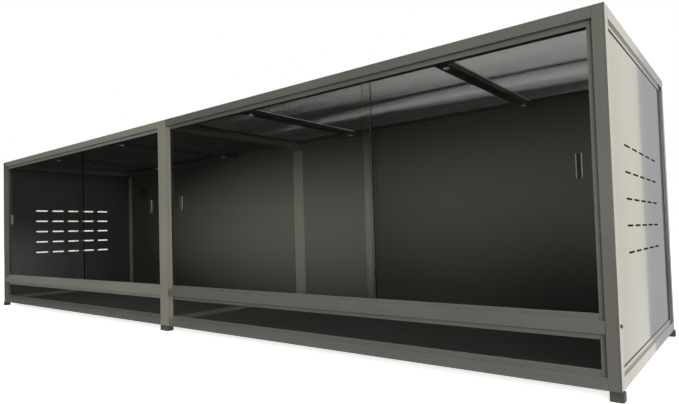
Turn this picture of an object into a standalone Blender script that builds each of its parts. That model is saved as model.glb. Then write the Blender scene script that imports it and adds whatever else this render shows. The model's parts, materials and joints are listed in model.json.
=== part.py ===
"""Long reptile enclosure: two open bays in one frame of hollow aluminium bars.

Each bay has two sliding glass doors, a fixed low window, a slotted end wall,
a back wall, a floor, and a screen top with two crossbars under it.
Metres, +Z up, front towards -Y, origin under the middle at floor level.
"""

import math
from dataclasses import dataclass, field

import bmesh
import bpy
from mathutils import Matrix, Vector

# Overall sizes, without the feet's shoulders that stand proud
LENGTH = 2.4384
DEPTH = 0.6096
FRAME_HEIGHT = 0.6096
FOOT_HEIGHT = 0.0150

# Frame bars: a hollow square bar with lips that hold the panels
BAR = 0.0200
CENTRE_BAR = 0.0400
BAR_WALL = 0.0012
LIP_REACH = 0.0100
INNER_LIP_REACH = 0.0040
LIP_THICKNESS = 0.0015
LIP_SETBACK = 0.0080
END_LIP_SETBACK = 0.0034
LEDGE_SETBACK = 0.0050
MID_RAIL_BOTTOM = 0.0875
MID_RAIL_HEIGHT = 0.0210
POST_CAP_DEPTH = 0.0100
MID_RAIL_PLUG = 0.0240

# Fits
SEAT_GAP = 0.0003
CUT_OVERRUN = 0.0020
MERGE_DISTANCE = 0.000001
SMOOTH_ANGLE = math.radians(35)

# Panels
PANEL_THICKNESS = 0.0035
SLOT_COLUMNS = 5
SLOT_ROWS = 5
SLOT_LENGTH = 0.0520
SLOT_HEIGHT = 0.0060
SLOT_COLUMN_PITCH = 0.0715
SLOT_ROW_PITCH = 0.0475
SLOT_END_STEPS = 4
SLOTS_BEHIND_FRONT = 0.3004
SLOTS_ABOVE_FRAME_BASE = 0.3037

# Screen top
NET_THICKNESS = 0.0008
NET_STRAND = 0.0030
NET_RIM = 0.0120
NET_REAR_RIM = 0.0500
NET_COLUMNS = 16
NET_ROWS = 7
SCREEN_FRAME_THICKNESS = 0.0020
SCREEN_FRAME_WIDTH = 0.0220

# Crossbars, placed by shares of their bay's width
CROSSBAR_WIDTH = 0.0280
CROSSBAR_WALL = 0.0012
LEFT_OUTER_CROSSBAR_SHARE = 0.2909
LEFT_INNER_CROSSBAR_SHARE = 0.7109
RIGHT_INNER_CROSSBAR_SHARE = 0.2464
RIGHT_OUTER_CROSSBAR_SHARE = 0.7495
CROSSBAR_SCREW_FROM_FACE = 0.0805

# Screws
SCREW_SHANK_RADIUS = 0.0019
SCREW_SIDES = 16
SCREW_DOME_STEPS = 3
CROSSBAR_SCREW_HEAD_RADIUS = 0.0066
CROSSBAR_SCREW_HEAD_HEIGHT = 0.0028
CROSSBAR_SCREW_LENGTH = 0.0090
POST_SCREW_HEAD_RADIUS = 0.0032
POST_SCREW_HEAD_HEIGHT = 0.0018
POST_SCREW_BEHIND_FRONT = 0.0150
POST_SCREW_ABOVE_RAIL_BASE = 0.0120
POST_SCREW_LENGTH = 0.0320

# Sliding glass doors and their two-groove tracks
GLASS_THICKNESS = 0.0040
GROOVE_WIDTH = 0.0050
TRACK_WALL = 0.0012
TRACK_DIVIDER = 0.0032
TRACK_BASE = 0.0012
UPPER_TRACK_HEIGHT = 0.0094
LOWER_TRACK_HEIGHT = 0.0050
GLASS_IN_UPPER_TRACK = 0.0040
GLASS_ARRIS = 0.0005
LEFT_BAY_DOOR_OVERLAP = 0.0783
RIGHT_BAY_DOOR_OVERLAP = 0.0274
LEFT_DOOR_SPLIT_SHARE = 0.5463
RIGHT_DOOR_SPLIT_SHARE = 0.6132

# Finger pulls stuck on the doors, each inset from its door's outer edge
PULL_WIDTH = 0.0100
PULL_HEIGHT = 0.0420
PULL_BASE = 0.0010
PULL_RIM_WIDTH = 0.0014
PULL_RIM_HEIGHT = 0.0022
PULL_CORNER = 0.0012
PULL_CORNER_STEPS = 2
PULL_ABOVE_FRAME_BASE = 0.3570
LEFT_BAY_LEFT_PULL_INSET = 0.0394
LEFT_BAY_RIGHT_PULL_INSET = 0.0715
RIGHT_BAY_LEFT_PULL_INSET = 0.0584
RIGHT_BAY_RIGHT_PULL_INSET = 0.0318

# Cable port in the left bay's back wall
PORT_FROM_END = 0.1340
PORT_BELOW_TOP = 0.1180
PORT_HOLE_RADIUS = 0.0320
PORT_FLANGE_RADIUS = 0.0380
PORT_FLANGE_THICKNESS = 0.0025
PORT_BARREL_WALL = 0.0022
PORT_BARREL_BEYOND_PANEL = 0.0060
PORT_LEDGE = 0.0020
PORT_SIDES = 32
SEAL_THICKNESS = 0.0015
SEAL_HOLE_RADIUS = 0.0050
SEAL_SLIT_WIDTH = 0.0022
SEAL_SLIT_END_RADIUS = 0.0230
SEAL_SLITS = 6

# Feet
FOOT_WIDTH = 0.0212
FOOT_PROUD = 0.0025
CENTRE_FOOT_WIDTH = 0.0390
FOOT_CORNER_RADIUS = 0.0030
FOOT_CORNER_STEPS = 3
FOOT_SHOULDER = 0.0020
FOOT_SHOULDER_STEPS = 3
FOOT_SPIGOT_HEIGHT = 0.0140
FOOT_SPIGOT_CLEARANCE = 0.0008

# Places worked out from the sizes above
HALF_LENGTH = LENGTH / 2
HALF_DEPTH = DEPTH / 2
BASE_Z = FOOT_HEIGHT
TOP_Z = FOOT_HEIGHT + FRAME_HEIGHT
CENTRE_FACE = CENTRE_BAR / 2
END_FACE = HALF_LENGTH - BAR
CROSS_SPAN = (-HALF_DEPTH + BAR + SEAT_GAP, HALF_DEPTH - BAR - SEAT_GAP)
WALL_Z = (BASE_Z + BAR + SEAT_GAP, TOP_Z - BAR - SEAT_GAP)
CHANNEL = PANEL_THICKNESS + 2 * SEAT_GAP
PANEL_SETBACK = LIP_SETBACK + LIP_THICKNESS + SEAT_GAP
INNER_LIP_SETBACK = LIP_SETBACK + LIP_THICKNESS + CHANNEL
END_PANEL_SETBACK = END_LIP_SETBACK + LIP_THICKNESS + SEAT_GAP
END_INNER_LIP_SETBACK = END_LIP_SETBACK + LIP_THICKNESS + CHANNEL
MID_RAIL_Z = BASE_Z + MID_RAIL_BOTTOM
MID_RAIL_TOP_Z = MID_RAIL_Z + MID_RAIL_HEIGHT
NET_Z = TOP_Z - LEDGE_SETBACK + SEAT_GAP
CROSSBAR_Z = TOP_Z - BAR
CROSSBAR_HEIGHT = BAR - LEDGE_SETBACK - LIP_THICKNESS - SEAT_GAP
TRACK_DEPTH = 2 * TRACK_WALL + 2 * GROOVE_WIDTH + TRACK_DIVIDER
TRACK_Y = -HALF_DEPTH + PANEL_SETBACK
LOWER_TRACK_Z = MID_RAIL_TOP_Z + SEAT_GAP
UPPER_TRACK_TOP_Z = TOP_Z - BAR - SEAT_GAP
GLASS_Z = LOWER_TRACK_Z + TRACK_BASE + SEAT_GAP
GLASS_TOP_Z = UPPER_TRACK_TOP_Z - UPPER_TRACK_HEIGHT + GLASS_IN_UPPER_TRACK
GROOVE_SLACK = (GROOVE_WIDTH - GLASS_THICKNESS) / 2
FRONT_GLASS_Y = TRACK_Y + TRACK_WALL + GROOVE_SLACK
REAR_GLASS_Y = FRONT_GLASS_Y + GROOVE_WIDTH + TRACK_DIVIDER
PORT_X = -HALF_LENGTH + PORT_FROM_END
PORT_Z = TOP_Z - PORT_BELOW_TOP

# The lips on a bar, each as its distance from the outer face and its reach
OUTER_LIP = (LIP_SETBACK, LIP_REACH)
INNER_LIP = (INNER_LIP_SETBACK, INNER_LIP_REACH)
LEDGE = (LEDGE_SETBACK, LIP_REACH)
PANEL_CHANNEL = (OUTER_LIP, INNER_LIP)
END_CHANNEL = ((END_LIP_SETBACK, LIP_REACH), (END_INNER_LIP_SETBACK, INNER_LIP_REACH))

# Stretches of a post's height where rails meet it and its lips are cleared
BOTTOM_RAIL_BAND = (-CUT_OVERRUN, BAR + SEAT_GAP)
TOP_RAIL_BAND = (FRAME_HEIGHT - BAR - SEAT_GAP, FRAME_HEIGHT + CUT_OVERRUN)
MID_RAIL_BAND = (MID_RAIL_BOTTOM - SEAT_GAP, MID_RAIL_BOTTOM + MID_RAIL_HEIGHT + SEAT_GAP)
PLAIN_BANDS = (BOTTOM_RAIL_BAND, TOP_RAIL_BAND)
FRONT_BANDS = (BOTTOM_RAIL_BAND, MID_RAIL_BAND, TOP_RAIL_BAND)

# Directions
X = Vector((1, 0, 0))
Y = Vector((0, 1, 0))
Z = Vector((0, 0, 1))


@dataclass
class Bay:
    """One half of the enclosure, with what differs between the two."""

    name: str
    side: int
    low: float
    high: float
    crossbar_shares: dict
    door_split_share: float
    door_overlap: float
    left_pull_inset: float
    right_pull_inset: float


@dataclass
class Bar:
    """A hollow bar: a section drawn along two axes and run along their cross product."""

    name: str
    corner: Vector
    axes: tuple
    length: float
    lips: dict
    notches: list = field(default_factory=list)
    width: float = BAR
    depth: float = BAR
    solid_start: float = 0
    solid_end: float = 0


LEFT_BAY = Bay(
    "left", -1, -END_FACE + SEAT_GAP, -CENTRE_FACE - SEAT_GAP,
    {"outer": LEFT_OUTER_CROSSBAR_SHARE, "inner": LEFT_INNER_CROSSBAR_SHARE},
    LEFT_DOOR_SPLIT_SHARE, LEFT_BAY_DOOR_OVERLAP, LEFT_BAY_LEFT_PULL_INSET, LEFT_BAY_RIGHT_PULL_INSET,
)
RIGHT_BAY = Bay(
    "right", 1, CENTRE_FACE + SEAT_GAP, END_FACE - SEAT_GAP,
    {"inner": RIGHT_INNER_CROSSBAR_SHARE, "outer": RIGHT_OUTER_CROSSBAR_SHARE},
    RIGHT_DOOR_SPLIT_SHARE, RIGHT_BAY_DOOR_OVERLAP, RIGHT_BAY_LEFT_PULL_INSET, RIGHT_BAY_RIGHT_PULL_INSET,
)
BAYS = (LEFT_BAY, RIGHT_BAY)
FACES = {"front": -1, "rear": 1}


# Scene and materials
def clear_scene():
    for old in list(bpy.data.objects):
        bpy.data.objects.remove(old, do_unlink=True)


def principled(name, color, roughness, metallic=0.0, alpha=1.0):
    material = bpy.data.materials.new(name)
    material.use_nodes = True
    shader = material.node_tree.nodes["Principled BSDF"]
    shader.inputs["Base Color"].default_value = (*color, 1.0)
    shader.inputs["Roughness"].default_value = roughness
    shader.inputs["Metallic"].default_value = metallic
    shader.inputs["Alpha"].default_value = alpha
    return material


def make_materials():
    return {
        "frame": principled("charcoal_frame", (0.085, 0.083, 0.074), 0.42, 0.55),
        "panel": principled("charcoal_panel", (0.030, 0.030, 0.028), 0.45),
        "net": principled("black_screen", (0.020, 0.020, 0.020), 0.50, 0.60),
        "crossbar": principled("black_crossbar", (0.012, 0.012, 0.012), 0.40, 0.40),
        "glass": principled("clear_glass", (0.82, 0.88, 0.86), 0.03, 0.0, 0.18),
        "plastic": principled("black_plastic", (0.018, 0.018, 0.017), 0.55),
        "rubber": principled("black_rubber", (0.010, 0.010, 0.010), 0.80),
        "steel": principled("dark_screw", (0.060, 0.060, 0.058), 0.30, 1.0),
        "pull": principled("satin_pull", (0.30, 0.31, 0.30), 0.35, 0.70),
    }


def add_object(name, shape, material, origin=(0, 0, 0), smooth=False):
    mesh = bpy.data.meshes.new(name)
    shape.to_mesh(mesh)
    shape.free()
    if smooth:
        mesh.shade_smooth()
        mesh.set_sharp_from_angle(angle=SMOOTH_ANGLE)
    if material is not None:
        mesh.materials.append(material)
    created = bpy.data.objects.new(name, mesh)
    created.location = origin
    bpy.context.scene.collection.objects.link(created)
    return created


def combine(target, shape, operation, origin):
    """Cut a shape from an object or fuse it on, by a Boolean with a hidden helper."""
    helper = add_object(f"{target.name}_{operation.lower()}", shape, None, origin)
    helper.hide_render = True
    helper.display_type = "WIRE"
    modifier = target.modifiers.new(operation.lower(), "BOOLEAN")
    modifier.operation = operation
    modifier.solver = "EXACT"
    modifier.object = helper


def cut(target, shape, origin=(0, 0, 0)):
    combine(target, shape, "DIFFERENCE", origin)


def fuse(target, shape, origin=(0, 0, 0)):
    combine(target, shape, "UNION", origin)


# Outlines
def rectangle(low_x, low_y, high_x, high_y):
    return [(low_x, low_y), (high_x, low_y), (high_x, high_y), (low_x, high_y)]


def arc(centre_x, centre_y, radius, start, sweep, steps):
    """Points on an arc, both ends included."""
    angles = [start + sweep * step / steps for step in range(steps + 1)]
    return [(centre_x + radius * math.cos(a), centre_y + radius * math.sin(a)) for a in angles]


def circle(radius, sides, centre_x=0, centre_y=0):
    return arc(centre_x, centre_y, radius, 0, 2 * math.pi, sides)[:-1]


def slot_outline(centre_x, centre_y):
    """A long slot with round ends."""
    radius = SLOT_HEIGHT / 2
    reach = SLOT_LENGTH / 2 - radius
    right_end = arc(centre_x + reach, centre_y, radius, -math.pi / 2, math.pi, SLOT_END_STEPS)
    left_end = arc(centre_x - reach, centre_y, radius, math.pi / 2, math.pi, SLOT_END_STEPS)
    return right_end + left_end


def rounded_rectangle(low_x, low_y, high_x, high_y, radius, steps):
    corners = (
        (high_x - radius, high_y - radius), (low_x + radius, high_y - radius),
        (low_x + radius, low_y + radius), (high_x - radius, low_y + radius),
    )
    quarter = math.pi / 2
    points = []
    for turn, (x, y) in enumerate(corners):
        points += arc(x, y, radius, turn * quarter, quarter, steps)
    return points


def bar_outline(bar):
    """A bar's outer section, with lips on the named sides."""
    width, depth, lips = bar.width, bar.depth, bar.lips
    points = [(0, 0)]
    for setback, reach in lips.get("below", ()):
        far = setback + LIP_THICKNESS
        points += [(setback, 0), (setback, -reach), (far, -reach), (far, 0)]
    points.append((width, 0))
    for setback, reach in lips.get("right", ()):
        far = setback + LIP_THICKNESS
        points += [(width, setback), (width + reach, setback), (width + reach, far), (width, far)]
    points.append((width, depth))
    for setback, reach in reversed(lips.get("above", ())):
        far = setback + LIP_THICKNESS
        points += [(far, depth), (far, depth + reach), (setback, depth + reach), (setback, depth)]
    points.append((0, depth))
    for setback, reach in reversed(lips.get("left", ())):
        far = setback + LIP_THICKNESS
        points += [(0, far), (-reach, far), (-reach, setback), (0, setback)]
    return points


def track_outline(height):
    """Section of a two-groove track, open upwards."""
    groove_end = TRACK_WALL + GROOVE_WIDTH
    next_groove = groove_end + TRACK_DIVIDER
    last_wall = TRACK_DEPTH - TRACK_WALL
    return [
        (0, 0), (TRACK_DEPTH, 0), (TRACK_DEPTH, height), (last_wall, height),
        (last_wall, TRACK_BASE), (next_groove, TRACK_BASE), (next_groove, height),
        (groove_end, height), (groove_end, TRACK_BASE), (TRACK_WALL, TRACK_BASE),
        (TRACK_WALL, height), (0, height),
    ]


def star_outline():
    """A hub hole with narrow slits running out from it, as one loop."""
    half = SEAL_SLIT_WIDTH / 2
    root = math.sqrt(SEAL_HOLE_RADIUS ** 2 - half ** 2)
    slit = ((root, -half), (SEAL_SLIT_END_RADIUS, -half), (SEAL_SLIT_END_RADIUS, half), (root, half))
    points = []
    for number in range(SEAL_SLITS):
        turn = Matrix.Rotation(2 * math.pi * number / SEAL_SLITS, 2)
        points += [tuple(turn @ Vector(corner)) for corner in slit]
    return points


# Shapes
def turned(shape, first_axis, second_axis):
    """Turn a shape drawn in X and Y so that they lie along two other axes."""
    third_axis = first_axis.cross(second_axis)
    turn = Matrix((first_axis, second_axis, third_axis)).transposed()
    bmesh.ops.transform(shape, matrix=turn.to_4x4(), verts=shape.verts)
    return shape


def prism(loops, height):
    """Extrude an outline, with any further loops as holes, along +Z."""
    shape = bmesh.new()
    edges = []
    for points in loops:
        corners = [shape.verts.new((x, y, 0)) for x, y in points]
        edges += [shape.edges.new(pair) for pair in zip(corners, corners[1:] + corners[:1])]
    filled = bmesh.ops.triangle_fill(shape, edges=edges, use_beauty=True)
    faces = [item for item in filled["geom"] if isinstance(item, bmesh.types.BMFace)]
    raised = bmesh.ops.extrude_face_region(shape, geom=faces)
    top = [item for item in raised["geom"] if isinstance(item, bmesh.types.BMVert)]
    bmesh.ops.translate(shape, vec=(0, 0, height), verts=top)
    bmesh.ops.recalc_face_normals(shape, faces=shape.faces)
    return shape


def loft(rings):
    """Join rings of equally many points, given with their heights, into a closed body."""
    shape = bmesh.new()
    loops = []
    for points, height in rings:
        loops.append([shape.verts.new((x, y, height)) for x, y in points])
    for lower, upper in zip(loops, loops[1:]):
        for corners in zip(lower, lower[1:] + lower[:1], upper[1:] + upper[:1], upper):
            shape.faces.new(corners)
    shape.faces.new(loops[0][::-1])
    shape.faces.new(loops[-1])
    return shape


def add_box(shape, low, high):
    """Add a plain box between two corners to a shape."""
    made = bmesh.ops.create_cube(shape, size=1)["verts"]
    size = Vector(high) - Vector(low)
    bmesh.ops.scale(shape, vec=size, verts=made)
    bmesh.ops.translate(shape, vec=Vector(low) + size / 2, verts=made)


def box(low, high):
    shape = bmesh.new()
    add_box(shape, low, high)
    return shape


def pointed(shape, place, direction):
    """Turn a shape's +Z to a direction and move it to a place."""
    turn = Z.rotation_difference(direction).to_matrix().to_4x4()
    bmesh.ops.transform(shape, matrix=Matrix.Translation(place) @ turn, verts=shape.verts)
    return shape


def rod(radius, length):
    """A round rod that stands on zero."""
    shape = bmesh.new()
    bmesh.ops.create_cone(
        shape, cap_ends=True, segments=SCREW_SIDES, radius1=radius, radius2=radius, depth=length
    )
    bmesh.ops.translate(shape, vec=(0, 0, length / 2), verts=shape.verts)
    return shape


def revolve(points, sides):
    """Turn a profile of radius and height round +Z; it closes on itself or on the axis."""
    shape = bmesh.new()
    corners = [shape.verts.new((radius, 0, height)) for radius, height in points]
    following = corners[1:] + corners[:1] if points[0][0] > 0 else corners[1:]
    edges = [shape.edges.new(pair) for pair in zip(corners, following)]
    bmesh.ops.spin(
        shape, geom=corners + edges, cent=(0, 0, 0), axis=(0, 0, 1), dvec=(0, 0, 0),
        angle=2 * math.pi, steps=sides, use_merge=True,
    )
    bmesh.ops.remove_doubles(shape, verts=shape.verts, dist=MERGE_DISTANCE)
    bmesh.ops.recalc_face_normals(shape, faces=shape.faces)
    return shape


def screw(head_radius, head_height, length, seat):
    """Round-headed screw that points along +Z, its head's flat face at the seat height."""
    points = [(0, length), (SCREW_SHANK_RADIUS, length), (SCREW_SHANK_RADIUS, seat)]
    for step in range(SCREW_DOME_STEPS):
        angle = math.pi / 2 * step / SCREW_DOME_STEPS
        points.append((head_radius * math.cos(angle), seat - head_height * math.sin(angle)))
    points.append((0, seat - head_height))
    return revolve(points, SCREW_SIDES)


# Frame bars
def notch_box(shape, bar, side, start, end):
    """Add a cutter that clears one side's lips between two places along a bar."""
    reach = LIP_REACH + CUT_OVERRUN
    across = {
        "below": ((BAR_WALL, -reach), (bar.width - BAR_WALL, 0)),
        "right": ((bar.width, BAR_WALL), (bar.width + reach, bar.depth - BAR_WALL)),
        "above": ((BAR_WALL, bar.depth), (bar.width - BAR_WALL, bar.depth + reach)),
        "left": ((-reach, BAR_WALL), (0, bar.depth - BAR_WALL)),
    }
    low, high = across[side]
    add_box(shape, (*low, start), (*high, end))


def add_bar(bar, material):
    """Make a bar; where an end stays solid, its hollow is cut and not drawn."""
    inside = (BAR_WALL, BAR_WALL, bar.width - BAR_WALL, bar.depth - BAR_WALL)
    part_solid = bar.solid_start > 0 or bar.solid_end > 0
    loops = [bar_outline(bar)] if part_solid else [bar_outline(bar), rectangle(*inside)]
    made = add_object(bar.name, turned(prism(loops, bar.length), *bar.axes), material, bar.corner)
    cutter = bmesh.new()
    if part_solid:
        start = bar.solid_start if bar.solid_start > 0 else -CUT_OVERRUN
        end = bar.length - bar.solid_end if bar.solid_end > 0 else bar.length + CUT_OVERRUN
        add_box(cutter, (*inside[:2], start), (*inside[2:], end))
    for side, start, end in bar.notches:
        notch_box(cutter, bar, side, start, end)
    if cutter.verts:
        cut(made, turned(cutter, *bar.axes), bar.corner)
    else:
        cutter.free()
    return made


def bored(target, place, direction, depth):
    """Drill a clearance hole for a screw's shank into an object."""
    hole = rod(SCREW_SHANK_RADIUS + SEAT_GAP, depth + CUT_OVERRUN)
    cut(target, pointed(hole, place - direction * CUT_OVERRUN, direction))


def post_screw_place(side):
    """Where a post's screw enters its outer face."""
    height = MID_RAIL_Z + POST_SCREW_ABOVE_RAIL_BASE
    return Vector((side * HALF_LENGTH, -HALF_DEPTH + POST_SCREW_BEHIND_FRONT, height))


def corner_post(name, side, face):
    """A post at an end of the enclosure; side and face are -1 or 1."""
    inward_x, inward_y = -side * X, -face * Y
    axes, along_x, along_y = (inward_x, inward_y), "right", "above"
    if side * face < 0:
        axes, along_x, along_y = (inward_y, inward_x), "above", "right"
    wall_lips, bands = ((OUTER_LIP,), FRONT_BANDS) if face < 0 else (PANEL_CHANNEL, PLAIN_BANDS)
    notches = [(along_x, *band) for band in bands] + [(along_y, *band) for band in PLAIN_BANDS]
    lips = {along_x: wall_lips, along_y: END_CHANNEL}
    corner = Vector((side * HALF_LENGTH, face * HALF_DEPTH, BASE_Z))
    return Bar(name, corner, axes, FRAME_HEIGHT, lips, notches, solid_end=POST_CAP_DEPTH)


def centre_post(name, face):
    """The wide post between the two bays, at the front or the rear."""
    wall_lips, bands = ((OUTER_LIP,), FRONT_BANDS) if face < 0 else (PANEL_CHANNEL, PLAIN_BANDS)
    notches = [(side, *band) for side in ("right", "left") for band in bands]
    lips = {"right": wall_lips, "left": wall_lips}
    corner = Vector((face * CENTRE_FACE, face * HALF_DEPTH, BASE_Z))
    axes = (-face * X, -face * Y)
    return Bar(
        name, corner, axes, FRAME_HEIGHT, lips, notches, width=CENTRE_BAR, solid_end=POST_CAP_DEPTH
    )


def add_posts(material):
    for face_name, face in FACES.items():
        for bay in BAYS:
            post = add_bar(corner_post(f"{face_name}_{bay.name}_post", bay.side, face), material)
            if face < 0:
                bored(post, post_screw_place(bay.side), -bay.side * X, BAR + CUT_OVERRUN)
        add_bar(centre_post(f"{face_name}_centre_post", face), material)


def rail(name, corner, span, axes, lips, notched=(), **sizes):
    """A rail between two posts; the notched sides' lips stop short of the posts' lips."""
    run = axes[0].cross(axes[1])
    length = span[1] - span[0]
    start = span[0] if sum(run) > 0 else span[1]
    along = Vector([abs(part) for part in run])
    notches = []
    for side in notched:
        notches.append((side, -CUT_OVERRUN, LIP_REACH))
        notches.append((side, length - LIP_REACH, length + CUT_OVERRUN))
    return Bar(name, Vector(corner) + start * along, axes, length, lips, notches, **sizes)


def long_rails(bay):
    """The rails of one bay that run along the enclosure."""
    span = (bay.low, bay.high)
    floor_lips = {"right": PANEL_CHANNEL, "above": PANEL_CHANNEL}
    rails = []
    for face_name, face in FACES.items():
        y = face * HALF_DEPTH
        inward = -face * Y
        top_lips = {"right": (LEDGE,), "above": PANEL_CHANNEL if face > 0 else (OUTER_LIP,)}
        name = f"{face_name}_{bay.name}"
        rails.append(rail(
            f"{name}_top_rail", (0, y, TOP_Z), span, (inward, -Z), top_lips, ("right", "above")
        ))
        rails.append(rail(
            f"{name}_bottom_rail", (0, y, BASE_Z), span, (inward, Z), floor_lips, ("right", "above")
        ))
    plug = {"solid_start": MID_RAIL_PLUG} if bay.side > 0 else {"solid_end": MID_RAIL_PLUG}
    rails.append(rail(
        f"{bay.name}_mid_rail", (0, -HALF_DEPTH, MID_RAIL_TOP_Z), span, (Y, -Z),
        {"above": PANEL_CHANNEL, "below": (OUTER_LIP,)}, ("above", "below"),
        depth=MID_RAIL_HEIGHT, **plug,
    ))
    return rails


def cross_rails():
    """The rails that run from front to rear, at both ends and in the middle."""
    top_lips = {"right": (LEDGE,), "above": END_CHANNEL}
    base_lips = {"right": PANEL_CHANNEL, "above": END_CHANNEL}
    rails = []
    for bay in BAYS:
        x = bay.side * HALF_LENGTH
        inward = -bay.side * X
        name = f"{bay.name}_end"
        rails.append(rail(
            f"{name}_top_rail", (x, 0, TOP_Z), CROSS_SPAN, (inward, -Z), top_lips, ("above",)
        ))
        rails.append(rail(
            f"{name}_bottom_rail", (x, 0, BASE_Z), CROSS_SPAN, (inward, Z), base_lips, ("above",)
        ))
    rails.append(rail(
        "centre_top_rail", (-CENTRE_FACE, 0, TOP_Z), CROSS_SPAN, (X, -Z),
        {"right": (LEDGE,), "left": (LEDGE,)}, width=CENTRE_BAR,
    ))
    rails.append(rail(
        "centre_bottom_rail", (-CENTRE_FACE, 0, BASE_Z), CROSS_SPAN, (X, Z),
        {"right": PANEL_CHANNEL, "left": PANEL_CHANNEL}, width=CENTRE_BAR,
    ))
    return rails


def add_rails(material):
    for bay in BAYS:
        for entry in long_rails(bay):
            made = add_bar(entry, material)
            if entry.solid_start > 0 or entry.solid_end > 0:
                depth = BAR + SEAT_GAP + MID_RAIL_PLUG + CUT_OVERRUN
                bored(made, post_screw_place(bay.side), -bay.side * X, depth)
    for entry in cross_rails():
        add_bar(entry, material)


def add_post_screws(material):
    for bay in BAYS:
        shape = screw(POST_SCREW_HEAD_RADIUS, POST_SCREW_HEAD_HEIGHT, POST_SCREW_LENGTH, -SEAT_GAP)
        pointed(shape, post_screw_place(bay.side), -bay.side * X)
        add_object(f"{bay.name}_post_screw", shape, material, smooth=True)


# Feet
def foot(low, high, outward, spigot_low, spigot_high):
    """A rounded foot whose outward sides have a round shoulder, with a spigot on top."""
    top = BASE_Z - SEAT_GAP
    rings = []
    levels = [(0, 0)]
    for step in range(FOOT_SHOULDER_STEPS + 1):
        angle = math.pi / 2 * step / FOOT_SHOULDER_STEPS
        rise = FOOT_SHOULDER * math.sin(angle)
        levels.append((FOOT_SHOULDER * (1 - math.cos(angle)), top - FOOT_SHOULDER + rise))
    for inset, height in levels:
        ring_low = [start + inset * (sign < 0) for start, sign in zip(low, outward)]
        ring_high = [end - inset * (sign > 0) for end, sign in zip(high, outward)]
        rings.append((foot_ring(ring_low, ring_high), height))
    rings.append((foot_ring(spigot_low, spigot_high), top))
    rings.append((foot_ring(spigot_low, spigot_high), BASE_Z + FOOT_SPIGOT_HEIGHT))
    return loft(rings)


def foot_ring(low, high):
    return rounded_rectangle(*low, *high, FOOT_CORNER_RADIUS, FOOT_CORNER_STEPS)


def span_from(outer, sign, width):
    """Low and high of a stretch that runs inward from an outer place."""
    inner = outer - sign * width
    return min(outer, inner), max(outer, inner)


def add_feet(material):
    clearance = BAR_WALL + FOOT_SPIGOT_CLEARANCE
    for face_name, face in FACES.items():
        y = span_from(face * (HALF_DEPTH + FOOT_PROUD), face, FOOT_WIDTH)
        spigot_y = span_from(face * (HALF_DEPTH - clearance), face, BAR - 2 * clearance)
        half = CENTRE_FOOT_WIDTH / 2
        half_spigot = CENTRE_BAR / 2 - clearance
        plans = {"centre": ((-half, half), (-half_spigot, half_spigot), 0)}
        for bay in BAYS:
            x = span_from(bay.side * (HALF_LENGTH + FOOT_PROUD), bay.side, FOOT_WIDTH)
            spigot_x = span_from(bay.side * (HALF_LENGTH - clearance), bay.side, BAR - 2 * clearance)
            plans[bay.name] = (x, spigot_x, bay.side)
        for place_name, (x, spigot_x, side) in plans.items():
            low, high = zip(x, y)
            spigot_low, spigot_high = zip(spigot_x, spigot_y)
            shape = foot(low, high, (side, face), spigot_low, spigot_high)
            add_object(f"{face_name}_{place_name}_foot", shape, material, smooth=True)


# Walls, floors and windows
def slot_loops():
    """The slots of an end wall, in rows and columns about their middle."""
    loops = []
    for column in range(SLOT_COLUMNS):
        y = -HALF_DEPTH + SLOTS_BEHIND_FRONT + (column - (SLOT_COLUMNS - 1) / 2) * SLOT_COLUMN_PITCH
        for row in range(SLOT_ROWS):
            z = BASE_Z + SLOTS_ABOVE_FRAME_BASE + (row - (SLOT_ROWS - 1) / 2) * SLOT_ROW_PITCH
            loops.append(slot_outline(y, z))
    return loops


def add_end_wall(bay, material):
    """A slotted wall held in the channels of the end rails and corner posts."""
    loops = [rectangle(CROSS_SPAN[0], WALL_Z[0], CROSS_SPAN[1], WALL_Z[1])] + slot_loops()
    x = span_from(bay.side * (HALF_LENGTH - END_PANEL_SETBACK), bay.side, PANEL_THICKNESS)[0]
    add_object(f"{bay.name}_end_wall", turned(prism(loops, PANEL_THICKNESS), Y, Z), material, (x, 0, 0))


def add_back_wall(bay, material):
    loops = [rectangle(bay.low, WALL_Z[0], bay.high, WALL_Z[1])]
    if bay is LEFT_BAY:
        loops.append(circle(PORT_HOLE_RADIUS, PORT_SIDES, PORT_X, PORT_Z))
    shape = turned(prism(loops, PANEL_THICKNESS), X, Z)
    add_object(f"{bay.name}_back_wall", shape, material, (0, HALF_DEPTH - PANEL_SETBACK, 0))


def add_floor(bay, material):
    shape = prism([rectangle(bay.low, CROSS_SPAN[0], bay.high, CROSS_SPAN[1])], PANEL_THICKNESS)
    add_object(f"{bay.name}_floor", shape, material, (0, 0, BASE_Z + PANEL_SETBACK))


def add_low_window(bay, material):
    loop = rectangle(bay.low, WALL_Z[0], bay.high, MID_RAIL_Z - SEAT_GAP)
    shape = turned(prism([loop], PANEL_THICKNESS), X, Z)
    y = -HALF_DEPTH + PANEL_SETBACK + PANEL_THICKNESS
    add_object(f"{bay.name}_low_window", shape, material, (0, y, 0))


# Screen top
def net_holes(low, high):
    """An even grid of square-cornered gaps between two corners, with strands between them."""
    pitch_x = (high[0] - low[0] + NET_STRAND) / NET_COLUMNS
    pitch_y = (high[1] - low[1] + NET_STRAND) / NET_ROWS
    loops = []
    for column in range(NET_COLUMNS):
        x = low[0] + column * pitch_x
        for row in range(NET_ROWS):
            y = low[1] + row * pitch_y
            loops.append(rectangle(x, y, x + pitch_x - NET_STRAND, y + pitch_y - NET_STRAND))
    return loops


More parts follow.
